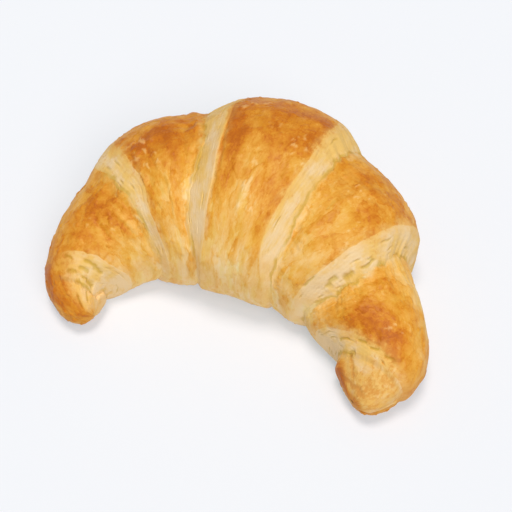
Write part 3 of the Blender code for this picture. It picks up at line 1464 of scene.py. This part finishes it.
@dataclass
class ArmWrap(Shell):
    """A wrap of one arm, from the crease below its upper neighbour to its own lip."""

    upper: Seam = field(kw_only=True)
    lower: Seam = field(kw_only=True)
    crown: float = 1.2
    crown_skew: float = 1.3
    crease_fade: float = 2.0
    groove_share: float = 0.12
    rows: int = 84

    def blocks(self) -> list[Block]:
        """The hidden root, the skin, and the cut edge.

        Returns:
            The rows, from the crown's side to the horn's.
        """
        angle = self.angle
        crease, lip = self.upper.crease_at(angle), self.lower.lip_at(angle)
        share = column(np.linspace(0, 1, self.rows + 1)[:-1])
        lift = self.crown * crown_fade(angle) * np.sin(math.pi * share**self.crown_skew)
        lift = lift + self.lower.swell_at(angle) * share**2
        skin = Block.make(
            angle,
            self.rows,
            distance=self.lower.side * (crease + share * (lip - crease)),
            lift=lift - self.upper.step_at(angle) * (1 - share) ** self.crease_fade,
            groove=1 - smooth(share, 0, self.groove_share),
            skin=1,
            past_lip=(share - 1) * (lip - crease),
            past_crease=share * (lip - crease),
            lip_weight=self.lower.weight_at(angle),
            crease_weight=self.upper.crease_weight_at(angle),
        )
        edge = CutEdge(self.lower)
        return [CutEdge(self.upper).root(angle), skin, edge.face(angle), edge.tuck(angle)]


@dataclass
class Nub(Shell):
    """The end of a horn, which sticks out of the first wrap and shows the roll's own end.

    The leaves' edges show between the angles open_from and open_to, as strongly as openness.
    There the nub rises from its crease by only the share bulge. The relief ends over the last
    part of it, plain_from. ARC turns the angle past open_from into a distance past a lip.
    """

    ARC = 0.18

    upper: Seam = field(kw_only=True)
    open_from: float = 125
    open_to: float = 215
    openness: float = 0.8
    bulge: float = 1.0
    fade: float = 0.6
    groove_share: float = 0.12
    plain_from: Pair = (0.90, 0.98)
    rows: int = 100

    def blocks(self) -> list[Block]:
        """The hidden root, then the nub to its blunt tip.

        Returns:
            The rows, from the wrap's side to the tip.
        """
        angle = self.angle
        side = self.upper.side
        tip = self.roll.left.length if side < 0 else self.roll.right.length
        crease = self.upper.crease_at(angle)
        share = column(1 - (1 - np.linspace(0, 0.999, self.rows)) ** 1.5)
        is_open = smooth(angle, self.open_from - 10, self.open_from + 15)
        is_open = is_open * (1 - smooth(angle, self.open_to - 15, self.open_to + 10))
        rise = np.sin(math.pi / 2 * np.minimum(1, share / self.fade))
        rise = rise * (1 - (1 - self.bulge) * is_open)
        plain = smooth(share, *self.plain_from)
        skin = Block.make(
            angle,
            self.rows,
            distance=side * (crease + share * (tip - crease)),
            lift=-self.upper.step_at(angle) * (1 - rise),
            groove=1 - smooth(share, 0, self.groove_share),
            skin=1 - plain,
            past_lip=(angle - self.open_from) * self.ARC,
            past_crease=share * (tip - crease),
            lip_weight=self.openness * is_open * (1 - plain),
            crease_weight=self.upper.crease_weight_at(angle),
        )
        return [CutEdge(self.upper).root(angle), skin]


# ---------------------------------------------------------------- finishes


class Value:
    """A node's output that can be used in expressions."""

    def __init__(self, graph: Graph, socket: bpy.types.NodeSocket) -> None:
        """Wraps the socket.

        Args:
            graph: The graph that it belongs to.
            socket: The output.
        """
        self.graph = graph
        self.socket = socket

    def math(self, operation: str, first: object, second: object) -> Value:
        """Adds a Math node that works on two numbers or links."""
        return self.graph.node("ShaderNodeMath", {"operation": operation}, {0: first, 1: second})

    def __add__(self, other: object) -> Value:
        """self + other."""
        return self.math("ADD", self, other)

    def __radd__(self, other: object) -> Value:
        """other + self."""
        return self.math("ADD", other, self)

    def __sub__(self, other: object) -> Value:
        """self - other."""
        return self.math("SUBTRACT", self, other)

    def __rsub__(self, other: object) -> Value:
        """other - self."""
        return self.math("SUBTRACT", other, self)

    def __mul__(self, other: object) -> Value:
        """self * other."""
        return self.math("MULTIPLY", self, other)

    def __rmul__(self, other: object) -> Value:
        """other * self."""
        return self.math("MULTIPLY", other, self)


class Graph:
    """The nodes of one material."""

    def __init__(self, name: str) -> None:
        """Starts a material with only its output.

        Args:
            name: The material's name.
        """
        self.material = bpy.data.materials.new(name)
        self.material.use_nodes = True
        self.tree = self.material.node_tree
        self.tree.nodes.clear()

    def node(self, kind: str, settings: dict, inputs: dict, output: int | str = 0) -> Value:
        """Adds a node.

        Args:
            kind: The node's type.
            settings: Properties to set first; "stops" are a ramp's positions and colours.
            inputs: Values or links of its sockets, by index or name.
            output: Which output to return.

        Returns:
            The output, for use in expressions.
        """
        node = self.tree.nodes.new(kind)
        for name, setting in settings.items():
            if name == "stops":
                self.set_stops(node.color_ramp, setting)
            else:
                setattr(node, name, setting)
        for name, value in inputs.items():
            if isinstance(value, Value):
                self.tree.links.new(value.socket, node.inputs[name])
            else:
                node.inputs[name].default_value = value
        return Value(self, node.outputs[output]) if node.outputs else Value(self, None)

    @staticmethod
    def set_stops(ramp: bpy.types.ColorRamp, stops: list[tuple[float, Triple]]) -> None:
        """Gives a ramp its stops.

        Args:
            ramp: The ramp.
            stops: Pairs of a position and a colour.
        """
        while len(ramp.elements) > 1:
            ramp.elements.remove(ramp.elements[-1])
        for number, (position, colour) in enumerate(stops):
            element = ramp.elements[0] if number == 0 else ramp.elements.new(position)
            element.position = position
            element.color = (*colour, 1)

    def finish(self, inputs: dict) -> bpy.types.Material:
        """Ends the material in one Principled shader.

        Args:
            inputs: Values or links of the shader's sockets.

        Returns:
            The material.
        """
        shader = self.node("ShaderNodeBsdfPrincipled", {}, inputs)
        self.node("ShaderNodeOutputMaterial", {}, {"Surface": shader})
        return self.material

    def attribute(self, name: str, output: str = "Fac") -> Value:
        """Reads one of the mesh's attributes."""
        return self.node("ShaderNodeAttribute", {"attribute_name": name}, {}, output)

    def absolute(self, value: Value) -> Value:
        """A number without its sign."""
        return self.node("ShaderNodeMath", {"operation": "ABSOLUTE"}, {0: value})

    def stretch(self, vector: Value, scale: Triple) -> Value:
        """Multiplies a vector, each axis by its own number."""
        settings = {"operation": "MULTIPLY"}
        return self.node("ShaderNodeVectorMath", settings, {0: vector, 1: scale})

    def noise(self, vector: Value, scale: Triple, detail: float = 3) -> Value:
        """Noise from 0 to 1.

        Args:
            vector: Coordinates in millimetres.
            scale: Waves for each millimetre, along each axis.
            detail: How many octaves it has.

        Returns:
            The noise.
        """
        inputs = {
            "Vector": self.stretch(vector, scale),
            "Scale": 1.0,
            "Detail": detail,
            "Roughness": 0.55,
        }
        return self.node("ShaderNodeTexNoise", {}, inputs)

    def mix(self, factor: object, first: object, second: object, blend: str = "MIX") -> Value:
        """Mixes two colours.

        Args:
            factor: How much of the second one there is.
            first: A colour or a link.
            second: Another one.
            blend: How they are mixed.

        Returns:
            The mixture.
        """
        settings = {"data_type": "RGBA", "blend_type": blend}
        inputs = {0: factor, 6: self.rgba(first), 7: self.rgba(second)}
        return self.node("ShaderNodeMix", settings, inputs, 2)

    def steps(self, value: Value, low: float, high: float) -> Value:
        """A smooth rise from 0 at low to 1 at high."""
        inputs = {"Value": value, "From Min": low, "From Max": high}
        return self.node("ShaderNodeMapRange", {"interpolation_type": "SMOOTHSTEP"}, inputs)

    @staticmethod
    def rgba(colour: object) -> object:
        """A plain colour with its alpha, or a link as it is."""
        return colour if isinstance(colour, Value) else (*colour, 1)


@dataclass(frozen=True)
class CrustFinish:
    """Baked, egg-washed crust and the leaves of its cut edges.

    stops are the crust's colours from pale to dark. Fields named _scale are waves for each
    millimetre of a noise, along the roll and twice across it. uneven gives the shares of the
    streaks, the mottle, the fine grain and the veins in the browning, and uneven_least and
    uneven_gain how strong they are on pale dough and how much stronger on brown. honey and blush
    tint the crust in places, shade darkens hollows, and flake lightens what peels. The inside is
    cream, turns to leaf_gold over gold_range, and has specks of leaf_brown over speck_range.
    """

    stops: tuple[tuple[float, Triple], ...] = (
        (0.00, linear(241, 216, 168)),
        (0.18, linear(238, 200, 134)),
        (0.34, linear(232, 182, 98)),
        (0.50, linear(225, 161, 62)),
        (0.66, linear(213, 138, 36)),
        (0.84, linear(199, 114, 20)),
        (1.00, linear(184, 98, 15)),
    )
    streak_scale: Triple = (0.75, 0.10, 0.10)
    mottle_scale: Triple = (0.32, 0.27, 0.27)
    fine_scale: Triple = (1.3, 1.0, 1.0)
    vein_scale: Triple = (0.40, 0.24, 0.24)
    vein_width: float = 0.035
    uneven: tuple[float, float, float, float] = (0.04, 0.58, 0.24, 0.10)
    uneven_least: float = 0.15
    uneven_gain: float = 1.4

    tint_scale: Triple = (0.16, 0.13, 0.13)
    honey: Triple = (0.98, 0.98, 0.78)
    honey_range: Pair = (0.46, 0.62)
    blush: Triple = (1.00, 0.975, 0.97)
    blush_range: Pair = (0.50, 0.36)
    flake: Triple = linear(240, 196, 134)
    flake_share: float = 0.4
    shade: Triple = (0.78, 0.74, 0.42)

    leaf_scale: Triple = (1.0, 0.16, 0.16)
    leaf_share: float = 0.25
    depth_scale: Triple = (0.20, 0.13, 0.13)
    cream: Triple = linear(234, 204, 156)
    leaf_gold: Triple = linear(230, 188, 106)
    gold_range: Pair = (0.42, 0.70)
    gold_by_bake: float = 0.7
    gold_from: float = 0.35
    leaf_brown: Triple = linear(214, 150, 68)
    speck_range: Pair = (0.54, 0.88)
    speck_fineness: float = 0.7
    speck_share: float = 0.75

    roughness: float = 0.42
    rough_mottle: float = 0.22
    rough_crumb: float = 0.20
    shine: float = 0.20
    glaze: float = 0.09
    glaze_range: Pair = (0.35, 0.65)
    glaze_roughness: float = 0.32
    grain_shares: Pair = (0.8, 0.2)
    grain_strength: float = 0.5
    grain_height: float = 0.0003

    def crust(self, graph: Graph, flow: Value, toast_and_painted_light: Value, peel: Value) -> Value:
        """The colour of the baked outside.

        Args:
            graph: The material's nodes.
            flow: Coordinates that follow the roll.
            toast_and_painted_light: The browning, with its unevenness.
            peel: 1 on a flake.

        Returns:
            The colour.
        """
        colour = graph.node("ShaderNodeValToRGB", {"stops": self.stops}, {"Fac": toast_and_painted_light})
        tint = graph.noise(flow, self.tint_scale, 4)
        colour = graph.mix(graph.steps(tint, *self.honey_range), colour, self.honey, "MULTIPLY")
        colour = graph.mix(graph.steps(tint, *self.blush_range), colour, self.blush, "MULTIPLY")
        return graph.mix(self.flake_share * peel, colour, self.flake)

    def inside(self, graph: Graph, flow: Value, bake: Value, specks: Value) -> Value:
        """The colour of the cut leaves.

        Args:
            graph: The material's nodes.
            flow: Coordinates that follow the roll.
            bake: The browning.
            specks: The browning with its fine specks.

        Returns:
            The colour.
        """
        leaves = graph.noise(flow, self.leaf_scale, 3)
        depth = graph.noise(flow, self.depth_scale, 3)
        golden = self.leaf_share * leaves + (1 - self.leaf_share) * depth
        golden = golden + self.gold_by_bake * (bake - self.gold_from)
        colour = graph.mix(graph.steps(golden, *self.gold_range), self.cream, self.leaf_gold)
        brown = self.speck_share * graph.steps(specks, *self.speck_range)
        return graph.mix(brown, colour, self.leaf_brown)

    def make(self) -> bpy.types.Material:
        """Builds the material.

        Returns:
            The material.
        """
        graph = Graph("baked_crust")
        flow = graph.attribute("flow", "Vector")
        names = ("bake", "crumb", "crevice", "peel")
        bake, crumb, crevice, peel = (graph.attribute(name) for name in names)
        streaks = graph.noise(flow, self.streak_scale)
        mottle = graph.noise(flow, self.mottle_scale, 5)
        fine = graph.noise(flow, self.fine_scale, 4)
        ridge = graph.noise(flow, self.vein_scale, 4)
        vein = 1.0 - graph.steps(graph.absolute(ridge - 0.5), 0.0, self.vein_width)

        by_streaks, by_mottle, by_fine, by_vein = self.uneven
        uneven = by_streaks * (streaks - 0.5) + by_mottle * (mottle - 0.5)
        uneven = uneven + by_fine * (fine - 0.5) + by_vein * vein
        # The browning with its unevenness, which carries the painted light and shade of the spots and
        # folds.
        toast_and_painted_light = bake + (self.uneven_least + self.uneven_gain * bake) * uneven
        crust = self.crust(graph, flow, toast_and_painted_light, peel)
        specks = toast_and_painted_light + self.speck_fineness * (fine - 0.5)
        colour = graph.mix(crumb, crust, self.inside(graph, flow, bake, specks))
        colour = graph.mix(graph.steps(crevice, 0, 1), colour, self.shade, "MULTIPLY")

        by_fine, by_streaks = self.grain_shares
        grain = {
            "Strength": self.grain_strength,
            "Distance": self.grain_height,
            "Height": by_fine * fine + by_streaks * streaks,
        }
        inputs = {
            "Base Color": colour,
            "Roughness": self.roughness + self.rough_mottle * mottle + self.rough_crumb * crumb,
            "Specular IOR Level": self.shine,
            "Coat Weight": self.glaze * (1 - crumb) * graph.steps(mottle, *self.glaze_range),
            "Coat Roughness": self.glaze_roughness,
            "Normal": graph.node("ShaderNodeBump", {}, grain),
        }
        return graph.finish(inputs)


@dataclass(frozen=True)
class PaleFloor:
    """The plain, pale surface that the croissant lies on.

    It is as bright as colour where the studio's light gives the share light. The part glow of
    each channel is its own brightness.
    """

    size: float = 20.0
    light: float = 1.0
    colour: Triple = linear(245, 247, 251)
    glow: Triple = (0.30, 0.38, 0.42)
    roughness: float = 0.9
    gap: float = 0.0001

    def finish(self) -> bpy.types.Material:
        """The floor's material.

        Returns:
            The material.
        """
        own = [level * share for level, share in zip(self.colour, self.glow)]
        lit = [(level - glow) / self.light for level, glow in zip(self.colour, own)]
        inputs = {
            "Base Color": (*lit, 1),
            "Roughness": self.roughness,
            "Specular IOR Level": 0.0,
            "Emission Color": (*own, 1),
            "Emission Strength": 1.0,
        }
        return Graph("pale_floor").finish(inputs)

    def build(self) -> bpy.types.Object:
        """Makes the floor, just below the croissant's underside.

        Returns:
            The floor.
        """
        half = self.size / 2
        corners = [(-half, -half, 0), (half, -half, 0), (half, half, 0), (-half, half, 0)]
        mesh = bpy.data.meshes.new("floor")
        mesh.from_pydata(corners, [], [(0, 1, 2, 3)])
        mesh.materials.append(self.finish())
        floor = place("floor", mesh)
        floor.location.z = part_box(NODE)[0][2] - self.gap
        floor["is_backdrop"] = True
        return floor


# ---------------------------------------------------------------- light and camera


def direction(azimuth: float, elevation: float) -> Vector:
    """The way from the croissant to a place round it.

    Args:
        azimuth: 0 in front, 90 on the right, and so on round.
        elevation: The height over the floor, in degrees.

    Returns:
        A unit vector.
    """
    turn, tilt = math.radians(azimuth), math.radians(elevation)
    flat = math.cos(tilt)
    return Vector((math.sin(turn) * flat, -math.cos(turn) * flat, math.sin(tilt)))


def place_facing(name: str, data: bpy.types.ID, middle: Vector, away: Vector) -> bpy.types.Object:
    """Puts a light or a camera into the scene, turned to look at a point.

    Args:
        name: The object's name.
        data: Its light or camera.
        middle: The point that it looks at.
        away: The way from there to it, as long as its distance.

    Returns:
        The new object.
    """
    thing = place(name, data)
    thing.location = middle + away
    thing.rotation_euler = (-away).to_track_quat("-Z", "Y").to_euler()
    return thing


@dataclass(frozen=True)
class SoftLight:
    """Light from one wide part of the room.

    spread is the width of the source, in degrees, and share is the part of the floor's full
    brightness that it gives.
    """

    name: str
    azimuth: float
    elevation: float
    spread: float
    share: float

    def build(self) -> bpy.types.Object:
        """Adds the light.

        Returns:
            The light.
        """
        lamp = bpy.data.lights.new(self.name, "SUN")
        lamp.angle = math.radians(self.spread)
        lamp.energy = self.share * math.pi / math.sin(math.radians(self.elevation))
        return place_facing(self.name, lamp, Vector(), direction(self.azimuth, self.elevation))


@dataclass(frozen=True)
class Studio:
    """Weak light from all round, and soft lights in front and above."""

    sky: Triple = (1.0, 1.0, 1.0)
    sky_share: float = 0.28
    lights: tuple[SoftLight, ...] = (
        SoftLight("front", azimuth=45, elevation=48, spread=40, share=0.32),
        SoftLight("above", azimuth=235, elevation=86, spread=22, share=0.54),
    )

    @property
    def share(self) -> float:
        """How bright all the light together makes the floor, 1 at full brightness."""
        return self.sky_share + sum(light.share for light in self.lights)

    def build(self) -> None:
        """Sets the world and adds the lights."""
        world = bpy.data.worlds.new("studio")
        world.use_nodes = True
        background = world.node_tree.nodes["Background"]
        background.inputs["Color"].default_value = (*self.sky, 1)
        background.inputs["Strength"].default_value = self.sky_share
        bpy.context.scene.world = world
        bpy.context.scene.view_settings.view_transform = "Standard"
        for light in self.lights:
            light.build()


@dataclass(frozen=True)
class Viewpoint:
    """The camera, above the croissant and a little to its right."""

    azimuth: float = 20.4
    elevation: float = 55.0
    distance: float = 0.427
    aim: Triple = (0.00396, -0.01115, 0.020)
    lens: float = 85.0
    sensor: float = 36.0

    def build(self) -> bpy.types.Object:
        """Makes the scene's camera, aimed past the middle of the croissant's footprint.

        Returns:
            The camera.
        """
        low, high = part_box(NODE)
        foot = Vector(((low.x + high.x) / 2, (low.y + high.y) / 2, low.z))
        camera = bpy.data.cameras.new("camera")
        camera.lens = self.lens
        camera.sensor_width = self.sensor
        camera.clip_start = 0.01
        away = direction(self.azimuth, self.elevation) * self.distance
        holder = place_facing("camera", camera, foot + Vector(self.aim), away)
        bpy.context.scene.camera = holder
        return holder


# ---------------------------------------------------------------- the croissant


@dataclass(frozen=True)
class Croissant:
    """The seven wraps, over one roll."""

    roll: Roll = Roll()
    relief: Relief = Relief()
    baking: Baking = Baking()
    openings: Openings = Openings()
    finish: CrustFinish = CrustFinish()
    left_tip: Seam = Seam(
        side=Side.LEFT,
        lip=(80, 79, 79.5, 75.5, 80),
        cut=(3.5, 8.5, 12.5, 12.5, 6),
        step=(-0.2, 1.8, 3.6, 2.6, 1.0),
        swell=(0, 0.3, 0.6, 0.4, 0),
        seed=1,
    )
    left_outer: Seam = Seam(
        side=Side.LEFT,
        lip=(47, 47, 50.5, 51, 52),
        cut=(7, 7, 4.5, 4.3, 4),
        step=(-1.2, 2.4, 2.4, 1.0, 0.9),
        swell=(3.6, 0.6, 0.6, 0.2, 0),
        seed=2,
    )
    left_inner: Seam = Seam(
        side=Side.LEFT,
        lip=(12.5, 15.5, 19, 24.5, 21),
        cut=(9, 7, 10.5, 3, 5),
        step=(4.2, 4.6, 3.4, 0.7, 1.0),
        swell=(0.4, 0.4, 0.6, 0.2, 0),
        seed=3,
    )
    right_inner: Seam = Seam(
        side=Side.RIGHT,
        lip=(12.5, 16.4, 18.5, 30.5, 19),
        cut=(7.5, 5.6, 9.2, 3, 5),
        step=(3.8, 4.6, 3.8, 0.9, 1.2),
        swell=(1.6, 0.6, 0.6, 0.2, 0),
        seed=4,
    )
    right_outer: Seam = Seam(
        side=Side.RIGHT,
        lip=(44.5, 48.5, 51, 49, 48),
        cut=(5, 7.5, 8, 6.5, 6),
        step=(6, 5.4, 4.4, 1.4, 1.4),
        swell=(1.6, 0.5, 0.6, 0, 0),
        seed=5,
    )
    right_tip: Seam = Seam(
        side=Side.RIGHT,
        lip=(85, 80.5, 75, 67.5, 80),
        cut=(1.5, 4, 8.5, 12.5, 6),
        step=(-2.4, 0.5, 1.4, 2.0, 1.0),
        swell=(3.8, 1.9, 0.8, 0.6, 0),
        seed=6,
    )

    def shells(self) -> list[Shell]:
        """The wraps.

        Returns:
            Them all, from the left horn's tip to the right one's.
        """
        base = (self.roll, self.relief, self.baking, self.openings)
        left_nub = {"open_from": 62, "openness": 0.6, "bulge": 0.8}
        right_nub = {"open_from": 5, "open_to": 150, "openness": 0.7, "bulge": 0.4}
        left_outer = {"upper": self.left_outer, "lower": self.left_tip, "crown": 0.4}
        right_outer = {"upper": self.right_outer, "lower": self.right_tip, "crown": 1.8}
        return [
            Nub("nub_left", *base, 260, upper=self.left_tip, **left_nub),
            ArmWrap("wrap_left_outer", *base, 340, **left_outer),
            ArmWrap("wrap_left_inner", *base, upper=self.left_inner, lower=self.left_outer),
            MiddleWrap("wrap_middle", *base, left=self.left_inner, right=self.right_inner),
            ArmWrap("wrap_right_inner", *base, upper=self.right_inner, lower=self.right_outer),
            ArmWrap("wrap_right_outer", *base, 340, **right_outer),
            Nub("nub_right", *base, 260, upper=self.right_tip, **right_nub),
        ]

    def build(self) -> None:
        """Builds and finishes every wrap."""
        crust = self.finish.make()
        for shell in self.shells():
            piece = shell.build()
            shell.dress(piece, crust)
            LOG.info("%s: %d faces", piece.name, len(piece.data.polygons))


def report_size() -> None:
    """Puts the solid's box and the visible model's box side by side, but writes them nowhere."""
    boxes = {"cad": CAD_BOX, "visual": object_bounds()}
    sizes = {name: [list(corner) for corner in box] for name, box in boxes.items()}


def main() -> None:
    """Builds the scene."""
    logging.basicConfig(level=logging.INFO, format="%(message)s")
    studio = Studio()
    studio.build()
    Viewpoint().build()
    PaleFloor(light=studio.share).build()
    Croissant().build()
    report_size()


if __name__ == "__main__":
    main()
